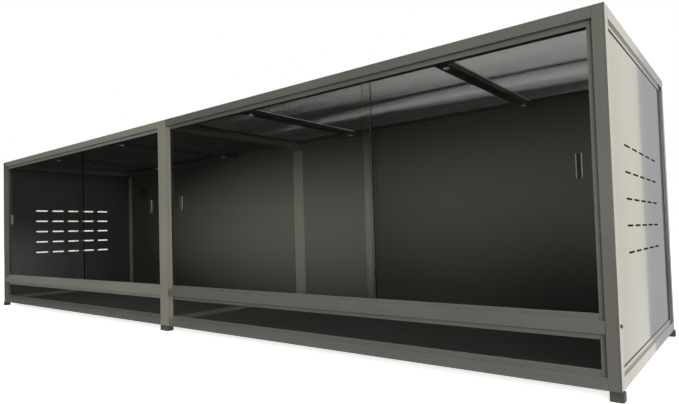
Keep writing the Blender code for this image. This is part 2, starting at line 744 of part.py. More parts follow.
def add_screen(bay, net_material, frame_material):
    """A net that rests on the ledges of one bay, under a flat frame that holds it down."""
    outline = rectangle(bay.low, CROSS_SPAN[0], bay.high, CROSS_SPAN[1])
    low = (bay.low + NET_RIM, CROSS_SPAN[0] + NET_RIM)
    high = (bay.high - NET_RIM, CROSS_SPAN[1] - NET_REAR_RIM)
    net = prism([outline] + net_holes(low, high), NET_THICKNESS)
    add_object(f"{bay.name}_screen", net, net_material, (0, 0, NET_Z))
    inside = rectangle(
        bay.low + SCREEN_FRAME_WIDTH, CROSS_SPAN[0] + SCREEN_FRAME_WIDTH,
        bay.high - SCREEN_FRAME_WIDTH, CROSS_SPAN[1] - SCREEN_FRAME_WIDTH,
    )
    frame = prism([outline, inside], SCREEN_FRAME_THICKNESS)
    frame_z = NET_Z + NET_THICKNESS + SEAT_GAP
    add_object(f"{bay.name}_screen_frame", frame, frame_material, (0, 0, frame_z))


def add_crossbars(bay, material):
    """Hollow bars under the screen, each with two round-headed screws fused to its underside."""
    wall = CROSSBAR_WALL
    for place_name, share in bay.crossbar_shares.items():
        x = bay.low + (bay.high - bay.low) * share
        outer = rectangle(0, 0, CROSSBAR_HEIGHT, CROSSBAR_WIDTH)
        inner = rectangle(wall, wall, CROSSBAR_HEIGHT - wall, CROSSBAR_WIDTH - wall)
        shape = turned(prism([outer, inner], CROSS_SPAN[1] - CROSS_SPAN[0]), Z, X)
        origin = (x - CROSSBAR_WIDTH / 2, CROSS_SPAN[0], CROSSBAR_Z)
        made = add_object(f"{place_name}_{bay.name}_crossbar", shape, material, origin)
        for face in FACES.values():
            place = Vector((x, face * (HALF_DEPTH - CROSSBAR_SCREW_FROM_FACE), CROSSBAR_Z))
            head = (CROSSBAR_SCREW_HEAD_RADIUS, CROSSBAR_SCREW_HEAD_HEIGHT)
            fuse(made, pointed(screw(*head, CROSSBAR_SCREW_LENGTH, SEAT_GAP), place, Z))


# Doors
def add_tracks(bay, material):
    lower = turned(prism([track_outline(LOWER_TRACK_HEIGHT)], bay.high - bay.low), Y, Z)
    add_object(f"{bay.name}_lower_track", lower, material, (bay.low, TRACK_Y, LOWER_TRACK_Z))
    upper = turned(prism([track_outline(UPPER_TRACK_HEIGHT)], bay.high - bay.low), Y, -Z)
    add_object(f"{bay.name}_upper_track", upper, material, (bay.high, TRACK_Y, UPPER_TRACK_TOP_Z))


def finger_pull():
    """A shallow tray with a raised rim, facing the front, its back at zero."""
    height = PULL_BASE + PULL_RIM_HEIGHT
    shape = box((-PULL_WIDTH / 2, -height, -PULL_HEIGHT / 2), (PULL_WIDTH / 2, 0, PULL_HEIGHT / 2))
    corners = [edge for edge in shape.edges if len({vert.co.y for vert in edge.verts}) == 2]
    bmesh.ops.bevel(
        shape, geom=corners, offset=PULL_CORNER, segments=PULL_CORNER_STEPS, profile=0.5,
        affect="EDGES", material=-1,
    )
    front = min(shape.faces, key=lambda face: face.calc_center_median().y)
    bmesh.ops.inset_region(shape, faces=[front], thickness=PULL_RIM_WIDTH, use_even_offset=True)
    floor = bmesh.ops.extrude_discrete_faces(shape, faces=[front])["faces"][0]
    bmesh.ops.translate(shape, vec=(0, PULL_RIM_HEIGHT, 0), verts=floor.verts)
    return shape


def add_doors(bay, glass_material, pull_material):
    """The left door runs in the front groove and the right door in the rear groove."""
    low, high = bay.low + SEAT_GAP, bay.high - SEAT_GAP
    split = low + (high - low) * bay.door_split_share
    half_overlap = bay.door_overlap / 2
    doors = {
        "left": (low, split + half_overlap, FRONT_GLASS_Y, low + bay.left_pull_inset),
        "right": (split - half_overlap, high, REAR_GLASS_Y, high - bay.right_pull_inset),
    }
    for door_name, (start, end, y, pull_x) in doors.items():
        name = f"{bay.name}_bay_{door_name}"
        shape = box((0, 0, 0), (end - start, GLASS_THICKNESS, GLASS_TOP_Z - GLASS_Z))
        bmesh.ops.bevel(
            shape, geom=shape.edges[:], offset=GLASS_ARRIS, segments=1, profile=0.5,
            affect="EDGES", material=-1,
        )
        add_object(f"{name}_door", shape, glass_material, (start, y, GLASS_Z))
        place = (pull_x, y - SEAT_GAP, BASE_Z + PULL_ABOVE_FRAME_BASE)
        add_object(f"{name}_pull", finger_pull(), pull_material, place)


# Cable port
def add_cable_port(ring_material, seal_material):
    """A flanged ring through the left back wall, with a rubber seal slit like a star."""
    barrel = PORT_HOLE_RADIUS - SEAT_GAP
    bore = barrel - PORT_BARREL_WALL
    ledge = bore - PORT_LEDGE
    seat = SEAL_THICKNESS + SEAT_GAP
    end = PANEL_THICKNESS + PORT_BARREL_BEYOND_PANEL
    front = -SEAT_GAP - PORT_FLANGE_THICKNESS
    profile = [
        (bore, front), (PORT_FLANGE_RADIUS, front), (PORT_FLANGE_RADIUS, -SEAT_GAP),
        (barrel, -SEAT_GAP), (barrel, end), (ledge, end), (ledge, seat), (bore, seat),
    ]
    place = (PORT_X, HALF_DEPTH - PANEL_SETBACK - PANEL_THICKNESS, PORT_Z)
    ring = turned(revolve(profile, PORT_SIDES), X, -Z)
    add_object("cable_port_ring", ring, ring_material, place, smooth=True)
    seal = turned(prism([circle(bore - SEAT_GAP, PORT_SIDES), star_outline()], SEAL_THICKNESS), X, -Z)
    add_object("cable_port_seal", seal, seal_material, place)


def build():
    clear_scene()
    materials = make_materials()
    add_posts(materials["frame"])
    add_rails(materials["frame"])
    add_post_screws(materials["steel"])
    add_feet(materials["plastic"])
    for bay in BAYS:
        add_end_wall(bay, materials["panel"])
        add_back_wall(bay, materials["panel"])
        add_floor(bay, materials["panel"])
        add_low_window(bay, materials["glass"])
        add_screen(bay, materials["net"], materials["frame"])
        add_crossbars(bay, materials["crossbar"])
        add_tracks(bay, materials["plastic"])
        add_doors(bay, materials["glass"], materials["pull"])
    add_cable_port(materials["plastic"], materials["rubber"])


build()
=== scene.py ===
"""Looks for the long reptile enclosure: coated bars, boards, glass doors and a fine screen top."""

import json
import math

import bmesh
import bpy
from mathutils import Matrix, Vector, noise


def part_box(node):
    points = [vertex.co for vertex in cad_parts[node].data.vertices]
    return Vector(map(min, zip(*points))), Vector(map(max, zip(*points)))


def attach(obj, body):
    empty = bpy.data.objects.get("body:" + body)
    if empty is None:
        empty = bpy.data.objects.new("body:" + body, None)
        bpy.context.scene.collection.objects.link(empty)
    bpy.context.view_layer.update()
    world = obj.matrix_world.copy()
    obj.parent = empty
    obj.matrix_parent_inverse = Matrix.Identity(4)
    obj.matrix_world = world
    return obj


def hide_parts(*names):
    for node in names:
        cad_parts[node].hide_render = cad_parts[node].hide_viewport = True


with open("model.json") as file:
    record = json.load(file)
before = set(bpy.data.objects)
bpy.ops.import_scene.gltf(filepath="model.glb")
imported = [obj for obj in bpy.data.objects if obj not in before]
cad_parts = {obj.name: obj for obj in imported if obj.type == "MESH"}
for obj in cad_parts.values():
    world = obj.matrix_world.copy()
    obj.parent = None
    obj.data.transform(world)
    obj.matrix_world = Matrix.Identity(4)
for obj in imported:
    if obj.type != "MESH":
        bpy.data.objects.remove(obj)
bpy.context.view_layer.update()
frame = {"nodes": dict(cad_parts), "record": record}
nodes = frame["nodes"]

ENCLOSURE = "enclosure_frame"
BAYS = ("left", "right")
X = Vector((1, 0, 0))
Y = Vector((0, 1, 0))
Z = Vector((0, 0, 1))

# The photo's camera
PHOTO_WIDTH = 679
PHOTO_HEIGHT = 404
FOCAL_PIXELS = 530.63
PHOTO_CENTRE = (343.1, 213.52)
CAMERA_PLACE = Vector((1.3995, -1.2103, 0.2732))
CAMERA_RIGHT = Vector((0.78371, 0.62045, -0.02898))
CAMERA_DOWN = Vector((-0.04515, 0.01037, -0.99893))
CAMERA_FORWARD = Vector((-0.61948, 0.78418, 0.03614))


def add_camera():
    """The camera that took the photo, from its place, its axes and its focal length in pixels."""
    data = bpy.data.cameras.new("photo_camera")
    data.sensor_fit = "HORIZONTAL"
    data.sensor_width = 36
    data.lens = data.sensor_width * FOCAL_PIXELS / PHOTO_WIDTH
    data.shift_x = (PHOTO_WIDTH / 2 - PHOTO_CENTRE[0]) / PHOTO_WIDTH
    data.shift_y = (PHOTO_CENTRE[1] - PHOTO_HEIGHT / 2) / PHOTO_WIDTH
    data.clip_start = 0.05
    camera = bpy.data.objects.new("photo_camera", data)
    turn = Matrix((CAMERA_RIGHT, -CAMERA_DOWN, -CAMERA_FORWARD)).transposed()
    camera.matrix_world = Matrix.Translation(CAMERA_PLACE) @ turn.to_4x4()
    bpy.context.scene.collection.objects.link(camera)
    bpy.context.scene.camera = camera


# Node trees
def add_node(tree, kind, inputs=None, **settings):
    """Add a shader node; inputs are set to a value or linked from a socket."""
    made = tree.nodes.new("ShaderNode" + kind)
    for name, value in settings.items():
        setattr(made, name, value)
    for name, value in (inputs or {}).items():
        if isinstance(value, bpy.types.NodeSocket):
            tree.links.new(value, made.inputs[name])
        else:
            made.inputs[name].default_value = value
    return made


def new_group(name, inputs, outputs):
    """A shader node group with named inputs, given as (kind, default), and named outputs."""
    group = bpy.data.node_groups.new(name, "ShaderNodeTree")
    for label, (kind, default) in inputs.items():
        socket = group.interface.new_socket(label, in_out="INPUT", socket_type="NodeSocket" + kind)
        socket.default_value = default
    for label, kind in outputs.items():
        group.interface.new_socket(label, in_out="OUTPUT", socket_type="NodeSocket" + kind)
    enter = group.nodes.new("NodeGroupInput")
    leave = group.nodes.new("NodeGroupOutput")
    return group, enter, leave


def use_group(tree, group, **inputs):
    """Place a node group in a tree; an input's name is given with underscores for spaces."""
    placed = tree.nodes.new("ShaderNodeGroup")
    placed.node_tree = group
    for name, value in inputs.items():
        socket = placed.inputs[name.replace("_", " ").capitalize()]
        if isinstance(value, bpy.types.NodeSocket):
            tree.links.new(value, socket)
        else:
            socket.default_value = value
    return placed


def ranged(tree, value, low, high, to_low, to_high):
    """Map a value from one range to another, clamped."""
    return add_node(tree, "MapRange", {
        "Value": value, "From Min": low, "From Max": high, "To Min": to_low, "To Max": to_high,
    }).outputs["Result"]


def combined(tree, first, second, operation="MULTIPLY"):
    """One value made from two, their product unless another operation is named."""
    return add_node(tree, "Math", {0: first, 1: second}, operation=operation).outputs[0]


def object_axes(tree):
    """The place on a piece as X, Y and Z sockets."""
    place = add_node(tree, "TexCoord").outputs["Object"]
    return add_node(tree, "SeparateXYZ", {0: place}).outputs


def mixed(tree, share, first, second, blend="MIX"):
    """Mix two colours by a share."""
    made = add_node(tree, "Mix", {0: share, 6: first, 7: second}, data_type="RGBA", blend_type=blend)
    return made.outputs[2]


def make_grain_group():
    """Fine grain of a coat or moulding: mottled colour, uneven gloss and small bumps."""
    group, enter, leave = new_group("coat_grain", {
        "Colour": ("Color", (0.1, 0.1, 0.1, 1)), "Mottle": ("Float", 0.2),
        "Grain scale": ("Float", 900), "Bump": ("Float", 0.2),
        "Low gloss": ("Float", 0.5), "High gloss": ("Float", 0.35),
    }, {"Colour": "Color", "Roughness": "Float", "Normal": "Vector"})
    place = add_node(group, "TexCoord").outputs["Object"]
    clouds = add_node(group, "TexNoise", {"Vector": place, "Scale": 6.0, "Detail": 4.0})
    patches = add_node(group, "TexNoise", {"Vector": place, "Scale": 38.0, "Detail": 3.0})
    grain = add_node(group, "TexNoise", {
        "Vector": place, "Scale": enter.outputs["Grain scale"], "Detail": 2.0,
    })
    shade = ranged(group, clouds.outputs[0], 0.30, 0.70, 0.55, 1.0)
    speckle = ranged(group, grain.outputs[0], 0.30, 0.70, 0.80, 1.0)
    tone = combined(group, shade, speckle)
    grey = add_node(group, "CombineColor", {0: tone, 1: tone, 2: tone}).outputs[0]
    colour = mixed(group, enter.outputs["Mottle"], enter.outputs["Colour"], grey, "MULTIPLY")
    gloss = add_node(group, "MapRange", {
        "Value": patches.outputs[0], "From Min": 0.32, "From Max": 0.68,
        "To Min": enter.outputs["High gloss"], "To Max": enter.outputs["Low gloss"],
    }).outputs["Result"]
    bump = add_node(group, "Bump", {
        "Strength": enter.outputs["Bump"], "Distance": 0.0003, "Height": grain.outputs[0],
    })
    group.links.new(colour, leave.inputs["Colour"])
    group.links.new(gloss, leave.inputs["Roughness"])
    group.links.new(bump.outputs[0], leave.inputs["Normal"])
    return group


def make_wear_and_glint_group():
    """Broken rubbing along sharp edges, as a mask, which also paints highlights along the edges."""
    group, enter, leave = new_group(
        "edge_wear_and_glint", {"Width": ("Float", 0.0006), "Amount": ("Float", 0.6)}, {"Mask": "Float"}
    )
    rounded = add_node(group, "Bevel", {"Radius": enter.outputs["Width"]}, samples=4)
    flat = add_node(group, "NewGeometry").outputs["Normal"]
    likeness = add_node(group, "VectorMath", {0: rounded.outputs[0], 1: flat}, operation="DOT_PRODUCT")
    edge = ranged(group, likeness.outputs["Value"], 0.97, 0.72, 0.0, 1.0)
    place = add_node(group, "TexCoord").outputs["Object"]
    broken = add_node(group, "TexNoise", {"Vector": place, "Scale": 55.0, "Detail": 5.0})
    patchy = ranged(group, broken.outputs[0], 0.42, 0.62, 0.15, 1.0)
    mask = combined(group, combined(group, edge, patchy), enter.outputs["Amount"])
    group.links.new(mask, leave.inputs["Mask"])
    return group


def make_dust_group():
    """Dust that settles on faces that look up, as a mask."""
    group, enter, leave = new_group("settled_dust", {"Amount": ("Float", 0.2)}, {"Mask": "Float"})
    normal = add_node(group, "NewGeometry").outputs["Normal"]
    upward = add_node(group, "SeparateXYZ", {0: normal}).outputs["Z"]
    level = ranged(group, upward, 0.70, 1.0, 0.0, 1.0)
    place = add_node(group, "TexCoord").outputs["Object"]
    drift = add_node(group, "TexNoise", {"Vector": place, "Scale": 14.0, "Detail": 6.0})
    amount = ranged(group, drift.outputs[0], 0.35, 0.75, 0.2, 1.0)
    mask = combined(group, combined(group, level, amount), enter.outputs["Amount"])
    group.links.new(mask, leave.inputs["Mask"])
    return group


def make_brush_group():
    """Fine brushing along Z: an uneven gloss and shallow lines."""
    group, enter, leave = new_group("brushing", {
        "Colour": ("Color", (0.6, 0.6, 0.6, 1)),
        "Low gloss": ("Float", 0.42), "High gloss": ("Float", 0.24),
    }, {"Colour": "Color", "Roughness": "Float", "Normal": "Vector"})
    place = add_node(group, "TexCoord").outputs["Object"]
    drawn = add_node(group, "Mapping", {"Vector": place, "Scale": (1.0, 1.0, 0.02)})
    lines = add_node(group, "TexNoise", {"Vector": drawn.outputs[0], "Scale": 3200.0, "Detail": 3.0})
    gloss = add_node(group, "MapRange", {
        "Value": lines.outputs[0], "From Min": 0.3, "From Max": 0.7,
        "To Min": enter.outputs["High gloss"], "To Max": enter.outputs["Low gloss"],
    }).outputs["Result"]
    tone = ranged(group, lines.outputs[0], 0.3, 0.7, 0.82, 1.0)
    grey = add_node(group, "CombineColor", {0: tone, 1: tone, 2: tone}).outputs[0]
    colour = mixed(group, 1.0, enter.outputs["Colour"], grey, "MULTIPLY")
    bump = add_node(group, "Bump", {"Strength": 0.15, "Distance": 0.0001, "Height": lines.outputs[0]})
    group.links.new(colour, leave.inputs["Colour"])
    group.links.new(gloss, leave.inputs["Roughness"])
    group.links.new(bump.outputs[0], leave.inputs["Normal"])
    return group


def make_smear_group():
    """Faint smears and wipe marks on glass, as an uneven gloss."""
    group, enter, leave = new_group("glass_smears", {
        "Clean": ("Float", 0.0), "Smeared": ("Float", 0.05),
    }, {"Roughness": "Float"})
    place = add_node(group, "TexCoord").outputs["Object"]
    wiped = add_node(group, "Mapping", {
        "Vector": place, "Rotation": (0, 0.5, 0), "Scale": (1.0, 1.0, 5.0),
    })
    smears = add_node(group, "TexNoise", {"Vector": wiped.outputs[0], "Scale": 4.0, "Detail": 6.0})
    gloss = add_node(group, "MapRange", {
        "Value": smears.outputs[0], "From Min": 0.50, "From Max": 0.80,
        "To Min": enter.outputs["Clean"], "To Max": enter.outputs["Smeared"],
    }).outputs["Result"]
    group.links.new(gloss, leave.inputs["Roughness"])
    return group


coat_grain = make_grain_group()
edge_wear_and_glint = make_wear_and_glint_group()
settled_dust = make_dust_group()
brushing = make_brush_group()
glass_smears = make_smear_group()

# Materials
# Colour of edges rubbed to bare metal, which also serves as a painted edge highlight.
BARE_METAL_AND_GLINT = (0.62, 0.61, 0.58, 1)
DUST = (0.30, 0.28, 0.24, 1)
COAT_ROUGHNESS = 0.08
FILM_COAT = 0.8
FILM_COAT_ROUGHNESS = 0.04
FILM_SMOOTHING = 0.20
END_BAND = 0.0042
END_COAT = 1.0
END_SMOOTHING = 0.5
INSIDE_SHADE = (0.35, 0.35, 0.35, 1)
INSIDE_MARGIN = 0.0006
MATT_SHINE = 0.12
SHEET_IOR = 1.5
SHEET_TINT = (0.93, 0.95, 0.94, 1)


def new_material(name):
    """A material with one principled shader, as (material, tree, shader, output)."""
    material = bpy.data.materials.new(name)
    material.use_nodes = True
    tree = material.node_tree
    shader = tree.nodes["Principled BSDF"]
    return material, tree, shader, tree.nodes["Material Output"]


def coated(name, colour, mottle, grain_scale, bump, low_gloss, high_gloss,
           wear_and_glint=0.0, wear_and_glint_width=0.0007, dust=0.0, coat=0.0):
    """A coated, moulded or pressed finish, with edges rubbed to bare metal, which also paints edge
    highlights, and dust where asked.
    """
    material, tree, shader, _ = new_material(name)
    grain = use_group(
        tree, coat_grain, colour=(*colour, 1), mottle=mottle, grain_scale=grain_scale, bump=bump,
        low_gloss=low_gloss, high_gloss=high_gloss,
    )
    shade = grain.outputs["Colour"]
    if dust > 0:
        dusty = use_group(tree, settled_dust, amount=dust)
        shade = mixed(tree, dusty.outputs["Mask"], shade, DUST)
    if wear_and_glint > 0:
        # Edges rubbed to bare metal, partly a painted highlight along the edges.
        worn_and_glinting = use_group(tree, edge_wear_and_glint, width=wear_and_glint_width, amount=wear_and_glint)
        shade = mixed(tree, worn_and_glinting.outputs["Mask"], shade, BARE_METAL_AND_GLINT)
        tree.links.new(worn_and_glinting.outputs["Mask"], shader.inputs["Metallic"])
    tree.links.new(shade, shader.inputs["Base Color"])
    tree.links.new(grain.outputs["Roughness"], shader.inputs["Roughness"])
    tree.links.new(grain.outputs["Normal"], shader.inputs["Normal"])
    shader.inputs["Coat Weight"].default_value = coat
    shader.inputs["Coat Roughness"].default_value = COAT_ROUGHNESS
    return material


def outer_faces(tree):
    """A mask of the boards' faces that look out of the enclosure, at the ends and the rear."""
    end_low, end_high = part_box("right_end_wall")
    rear_low, rear_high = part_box("right_back_wall")
    axes = object_axes(tree)
    sideways = add_node(tree, "Math", {0: axes["X"]}, operation="ABSOLUTE").outputs[0]
    end = combined(tree, sideways, (end_low.x + end_high.x) / 2, "GREATER_THAN")
    rear = combined(tree, axes["Y"], (rear_low.y + rear_high.y) / 2, "GREATER_THAN")
    return combined(tree, end, rear, "MAXIMUM")


def glossed_outside(material):
    """Give a board's outer faces a smooth, glossy film."""
    tree = material.node_tree
    shader = tree.nodes["Principled BSDF"]
    outside = outer_faces(tree)
    inside_gloss = shader.inputs["Roughness"].links[0].from_socket
    smooth = combined(tree, inside_gloss, FILM_SMOOTHING)
    gloss = add_node(tree, "Mix", {0: outside, 2: inside_gloss, 3: smooth})
    tree.links.new(gloss.outputs[0], shader.inputs["Roughness"])
    tree.links.new(combined(tree, outside, FILM_COAT), shader.inputs["Coat Weight"])
    shader.inputs["Coat Roughness"].default_value = FILM_COAT_ROUGHNESS
    return material


def glossed_ends(material):
    """Give a bar's faces at the enclosure's two ends a smoother, fuller coat."""
    tree = material.node_tree
    shader = tree.nodes["Principled BSDF"]
    end_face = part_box("right_end_top_rail")[1].x
    sideways = add_node(tree, "Math", {0: object_axes(tree)["X"]}, operation="ABSOLUTE").outputs[0]
    outside = combined(tree, sideways, end_face - END_BAND, "GREATER_THAN")
    coat = add_node(tree, "Mix", {0: outside, 2: shader.inputs["Coat Weight"].default_value, 3: END_COAT})
    tree.links.new(coat.outputs[0], shader.inputs["Coat Weight"])
    inside_gloss = shader.inputs["Roughness"].links[0].from_socket
    smooth = combined(tree, inside_gloss, END_SMOOTHING)
    gloss = add_node(tree, "Mix", {0: outside, 2: inside_gloss, 3: smooth})
    tree.links.new(gloss.outputs[0], shader.inputs["Roughness"])
    return material


def shaded_top(material):
    """Paint shade on the rear top rails where they face the dark inside of the enclosure."""
    tree = material.node_tree
    shader = tree.nodes["Principled BSDF"]
    low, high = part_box("rear_left_top_rail")
    axes = object_axes(tree)
    behind = combined(tree, axes["Y"], low.y - INSIDE_MARGIN, "GREATER_THAN")
    before = combined(tree, axes["Y"], high.y - INSIDE_MARGIN, "LESS_THAN")
    raised = combined(tree, axes["Z"], low.z - INSIDE_MARGIN, "GREATER_THAN")
    inside = combined(tree, combined(tree, behind, before), raised)
    shade = shader.inputs["Base Color"].links[0].from_socket
    darker = mixed(tree, inside, shade, INSIDE_SHADE, "MULTIPLY")
    tree.links.new(darker, shader.inputs["Base Color"])
    return material


def matt(material):
    """Take most of the shine off a dark finish, so that it stays black when seen at a low angle."""
    shader = material.node_tree.nodes["Principled BSDF"]
    shader.inputs["Specular IOR Level"].default_value = MATT_SHINE
    return material


def brushed(name, colour, low_gloss, high_gloss):
    """Metal with fine brushing and nothing over it."""
    material, tree, shader, _ = new_material(name)
    lines = use_group(tree, brushing, colour=(*colour, 1), low_gloss=low_gloss, high_gloss=high_gloss)
    for output, socket in (("Colour", "Base Color"), ("Roughness", "Roughness"), ("Normal", "Normal")):
        tree.links.new(lines.outputs[output], shader.inputs[socket])
    shader.inputs["Metallic"].default_value = 1.0
    return material


def clear_sheet(name, colour, smeared):
    """Clear glass or plastic sheet, which lets lamp light through to what is behind it."""
    material, tree, shader, output = new_material(name)
    smears = use_group(tree, glass_smears, clean=0.0, smeared=smeared)
    shader.inputs["Base Color"].default_value = (*colour, 1)
    shader.inputs["Transmission Weight"].default_value = 1.0
    shader.inputs["IOR"].default_value = SHEET_IOR
    tree.links.new(smears.outputs["Roughness"], shader.inputs["Roughness"])
    clear = add_node(tree, "BsdfTransparent", {"Color": SHEET_TINT})
    light = add_node(tree, "LightPath").outputs
    passing = combined(tree, light["Is Shadow Ray"], light["Is Diffuse Ray"], "MAXIMUM")
    sheet = add_node(tree, "MixShader", {0: passing, 1: shader.outputs[0], 2: clear.outputs[0]})
    tree.links.new(sheet.outputs[0], output.inputs["Surface"])
    return material


# The frame's and crossbars' rubbed edges are partly painted highlights along their edges.
materials = {
    "frame": shaded_top(glossed_ends(coated(
        "charcoal_frame_coat", (0.130, 0.127, 0.113), 0.30, 1500, 0.20, 0.50, 0.38,
        wear_and_glint=0.55, wear_and_glint_width=0.0011, dust=0.12, coat=0.4,
    ))),
    "panel": glossed_outside(coated(
        "charcoal_board", (0.026, 0.026, 0.024), 0.20, 700, 0.06, 0.44, 0.34, dust=0.06,
    )),
    "screen": matt(coated("screen_wire", (0.028, 0.027, 0.025), 0.30, 2500, 0.10, 0.66, 0.52)),
    "crossbar": coated(
        "black_crossbar_coat", (0.010, 0.010, 0.0095), 0.30, 1500, 0.20, 0.42, 0.28, wear_and_glint=0.9,
    ),
    "track": coated("track_plastic", (0.020, 0.020, 0.019), 0.30, 1200, 0.12, 0.50, 0.36),
    "foot": coated("foot_plastic", (0.050, 0.048, 0.042), 0.35, 1400, 0.30, 0.62, 0.48, dust=0.10),
    "port_ring": coated("port_plastic", (0.018, 0.018, 0.017), 0.30, 1200, 0.15, 0.48, 0.34),
    "port_seal": coated("port_rubber", (0.012, 0.012, 0.012), 0.35, 900, 0.30, 0.80, 0.62, dust=0.10),
    "screw": coated("darkened_screw", (0.040, 0.040, 0.038), 0.25, 2500, 0.10, 0.36, 0.26, wear_and_glint=0.4),
    "door_glass": clear_sheet("door_glass", (0.97, 0.962, 0.93), 0.015),
    "window": clear_sheet("window_sheet", (0.90, 0.92, 0.915), 0.02),
    "pull": brushed("satin_pull", (0.62, 0.62, 0.60), 0.42, 0.28),
}
# A lighter copy of the frame coat with more rubbed edges, as painted light and painted edge highlights on
# a few front bars.
painted_light_frame = coated(
    "painted_light_frame_coat", (0.250, 0.245, 0.212), 0.25, 1500, 0.20, 0.50, 0.38,
    wear_and_glint=0.8, wear_and_glint_width=0.0014, dust=0.12, coat=0.4,
)
# Near-white for the crossbar screws: real bright zinc, painted near-white as a glint.
zinc_with_painted_glint = coated("zinc_with_painted_glint", (0.97, 0.97, 0.95), 0.05, 2500, 0.10, 0.34, 0.22, coat=0.6)
# Near-black for the pulls' trays and rims, as painted shade.
pull_shade_sheet = coated("pull_shade_sheet", (0.008, 0.008, 0.008), 0.30, 1200, 0.15, 0.60, 0.45)
# A darker copy of the screen wire for the left bay, as painted shade.
shaded_wire = matt(coated("shaded_screen_wire", (0.009, 0.009, 0.008), 0.30, 2500, 0.10, 0.80, 0.68))
# A darker copy of the board for the enclosure's floors, as painted shade.
shaded_board = coated("shaded_floor_board", (0.012, 0.012, 0.011), 0.20, 700, 0.06, 0.60, 0.48, dust=0.04)
# Bright metal for the slivers at the front rails' ends.
end_sliver_finish = brushed("bright_end_sliver", (0.74, 0.73, 0.70), 0.50, 0.34)
# Light colour for the strips on the right bay's crossbar edges, as painted highlight.
painted_edge_highlight = coated("painted_edge_highlight", (0.80, 0.79, 0.76), 0.30, 1500, 0.20, 0.50, 0.36)


# Shapes
SMOOTH_ANGLE = math.radians(35)
SHARP_ANGLE = math.radians(30)
FLAT_ANGLE = math.radians(1)
FACET_MERGE = 0.00001
MERGE = 0.000001


def add_piece(name, shape, material, body=ENCLOSURE, smooth=False):
    """Make a piece of a finished shape that rides on a body."""
    mesh = bpy.data.meshes.new(name)
    shape.to_mesh(mesh)
    shape.free()
    if smooth:
        mesh.shade_smooth()
        mesh.set_sharp_from_angle(angle=SMOOTH_ANGLE)
    else:
        mesh.shade_flat()
    mesh.materials.append(material)
    piece = bpy.data.objects.new(name, mesh)
    bpy.context.scene.collection.objects.link(piece)
    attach(piece, body)
    return piece


def add_box(shape, low, high):
    """Add a box to a shape, from its low corner to its high corner."""
    made = bmesh.ops.create_cube(shape, size=1)["verts"]
    size = Vector(high) - Vector(low)
    bmesh.ops.scale(shape, vec=size, verts=made)
    bmesh.ops.translate(shape, vec=Vector(low) + size / 2, verts=made)


def softened(node, width):
    """The node's own shape with its sharp edges rounded, standing for the node."""
    shape = bmesh.new()
    shape.from_mesh(nodes[node].data)
    for layer in list(shape.loops.layers.uv):
        shape.loops.layers.uv.remove(layer)
    bmesh.ops.remove_doubles(shape, verts=shape.verts, dist=FACET_MERGE)
    bmesh.ops.dissolve_limit(shape, angle_limit=FLAT_ANGLE, verts=shape.verts, edges=shape.edges)
    sharp = [edge for edge in shape.edges if edge.is_manifold and edge.calc_face_angle() > SHARP_ANGLE]
    bmesh.ops.bevel(
        shape, geom=sharp, offset=width, segments=2, profile=0.5, affect="EDGES", material=-1,
        clamp_overlap=False,
    )
    return shape


def pointed(shape, place, direction):
    """Turn a shape's +Z to a direction and move it to a place."""
    turn = Z.rotation_difference(direction).to_matrix().to_4x4()
    bmesh.ops.transform(shape, matrix=Matrix.Translation(place) @ turn, verts=shape.verts)
    return shape


# Screws
CROSSBAR_HEAD = (0.0068, 0.0030)
CROSSBAR_DOME_IN_SOLID = 0.0025
CROSSBAR_SCREW_REACH = 0.2243
POST_HEAD = (0.0034, 0.0020)
POST_SHANK_RADIUS = 0.0019
POST_SHANK_LENGTH = 0.0300
POST_SHANK_SIDES = 16
POST_SEAT = 1.2193
HEAD_SIDES = 24
DOME_STEPS = 8
RECESS_SHARE = 0.55
RECESS_WIDTH_SHARE = 0.22
RECESS_DEPTH_SHARE = 0.5


def screw_head(radius, height):
    """A domed head with a cross recess, its seat on zero and its dome towards +Z."""
    shape = bmesh.new()
    recess_width = radius * RECESS_WIDTH_SHARE
    profile = [(0.0, 0.0)]
    for step in range(DOME_STEPS + 1):
        angle = math.pi / 2 * step / DOME_STEPS
        profile.append((radius * math.cos(angle), height * math.sin(angle)))
    corners = [shape.verts.new((reach, 0, rise)) for reach, rise in profile]
    edges = [shape.edges.new(pair) for pair in zip(corners, corners[1:])]
    bmesh.ops.spin(
        shape, geom=corners + edges, cent=(0, 0, 0), axis=(0, 0, 1), dvec=(0, 0, 0),
        angle=2 * math.pi, steps=HEAD_SIDES, use_merge=True,
    )
    bmesh.ops.remove_doubles(shape, verts=shape.verts, dist=MERGE)
    bmesh.ops.recalc_face_normals(shape, faces=shape.faces)
    for axis in (X, Y):
        for side in (-1, 1):
            whole = shape.verts[:] + shape.edges[:] + shape.faces[:]
            bmesh.ops.bisect_plane(
                shape, geom=whole, dist=MERGE, plane_co=side * axis * recess_width / 2, plane_no=axis,
            )
    recess = []
    for face in shape.faces:
        middle = face.calc_center_median()
        in_cross = min(abs(middle.x), abs(middle.y)) < recess_width / 2
        if in_cross and middle.xy.length < radius * RECESS_SHARE and middle.z > height / 3:
            recess.append(face)
    sunk = bmesh.ops.extrude_face_region(shape, geom=recess)
    bmesh.ops.delete(shape, geom=recess, context="FACES_ONLY")
    moved = [item for item in sunk["geom"] if isinstance(item, bmesh.types.BMVert)]
    bmesh.ops.translate(shape, vec=(0, 0, -height * RECESS_DEPTH_SHARE), verts=moved)
    return shape


def add_crossbar_screws():
    """Zinc screws, painted near-white as their glint, over the domes fused under each crossbar."""
    for name in ("outer_left", "inner_left", "inner_right", "outer_right"):
        low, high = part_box(f"{name}_crossbar")
        for end, y in (("front", -CROSSBAR_SCREW_REACH), ("rear", CROSSBAR_SCREW_REACH)):
            place = Vector(((low.x + high.x) / 2, y, low.z + CROSSBAR_DOME_IN_SOLID))
            head = pointed(screw_head(*CROSSBAR_HEAD), place, -Z)
            add_piece(f"{name}_{end}_screw", head, zinc_with_painted_glint, smooth=True)


